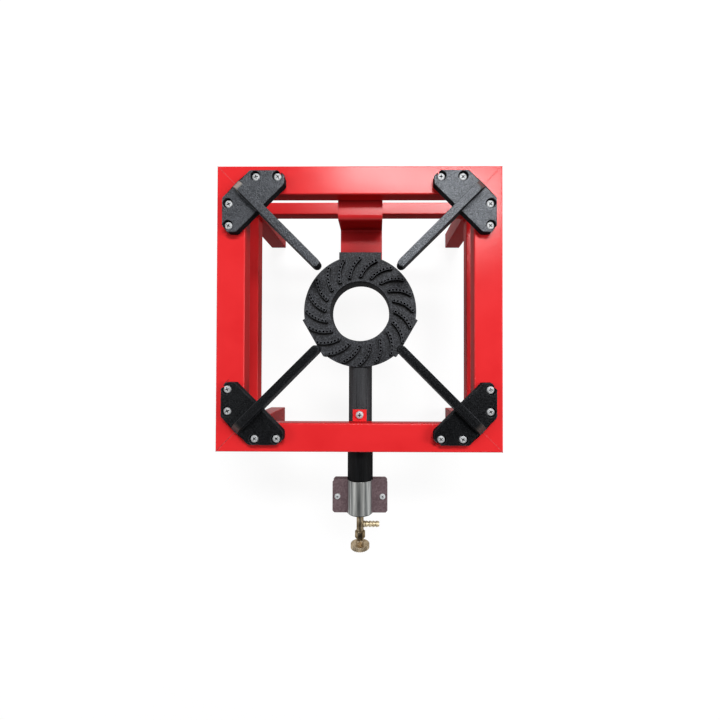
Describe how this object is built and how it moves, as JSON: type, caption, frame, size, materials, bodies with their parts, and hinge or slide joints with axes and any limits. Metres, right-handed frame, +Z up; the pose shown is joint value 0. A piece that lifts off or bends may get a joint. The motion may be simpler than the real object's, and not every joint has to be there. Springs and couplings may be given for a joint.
{
  "type": "single burner gas stove",
  "caption": "Low square stand of welded red tube with a cast-iron ring burner, diagonal pot supports, an adjustable air shutter and a brass needle valve.",
  "frame": {"origin": "on the floor under the middle of the whole length, valve included", "axes": "+Z up, -Y to the front where the valve and knob are, +X to the right seen from the front"},
  "size_m": [0.4, 0.5544, 0.272],
  "materials": {
    "red_paint": "gloss powder coat on welded steel tube",
    "support_iron": "black enamel over sand-cast iron, fine grain",
    "burner_iron": "raw sand-cast iron, matt",
    "galvanised": "galvanised sheet, satin",
    "zinc": "bright zinc plate",
    "brass": "turned brass",
    "seal_rubber": "matt",
    "black_plastic": "matt moulded"
  },
  "bodies": {
    "stand": {"burner_body": "burner_iron", "burner_bracket": "red_paint", "burner_cap": "burner_iron", "burner_tab": "red_paint", "burner_tab_screw": "zinc", "foot_plug_back_left": "black_plastic", "foot_plug_back_right": "black_plastic", "foot_plug_front_left": "black_plastic", "foot_plug_front_right": "black_plastic", "gas_jet": "brass", "gland_nut": "brass", "hose_barb": "brass", "leg_back_left": "red_paint", "leg_back_right": "red_paint", "leg_front_left": "red_paint", "leg_front_right": "red_paint", "lower_rail_back": "red_paint", "lower_rail_left": "red_paint", "lower_rail_right": "red_paint", "pot_support_back_left": "support_iron", "pot_support_back_right": "support_iron", "pot_support_front_left": "support_iron", "pot_support_front_right": "support_iron", "pot_support_screws": "zinc", "top_rail_back": "red_paint", "top_rail_front": "red_paint", "top_rail_left": "red_paint", "top_rail_right": "red_paint", "valve_body": "brass"},
    "air_shutter": {"air_shutter_upper": "galvanised", "air_shutter_lower": "galvanised", "air_shutter_screws": "zinc", "air_shutter_nuts": "zinc"},
    "spindle_seal": {"spindle_seal": "seal_rubber"},
    "knob": {"valve_spindle": "brass", "knob": "brass"}
  },
  "joints": [
    {"name": "air_shutter_slide", "type": "slide", "parent": "stand", "child": "air_shutter", "axis": [0, 1, 0], "range_m": [0, 0.03]},
    {"name": "knob_turn", "type": "hinge", "parent": "spindle_seal", "child": "knob", "pos_m": [0, -0.22375, 0.2065], "axis": [0, -1, 0], "range_deg": [0, 545]},
    {"name": "spindle_travel", "type": "slide", "parent": "stand", "child": "spindle_seal", "axis": [0, -1, 0], "range_m": [0, 0.0012]}
  ],
  "couplings": [
    {"joint": "knob_turn", "follows": "spindle_travel", "rad_per_m": 7854}
  ]
}
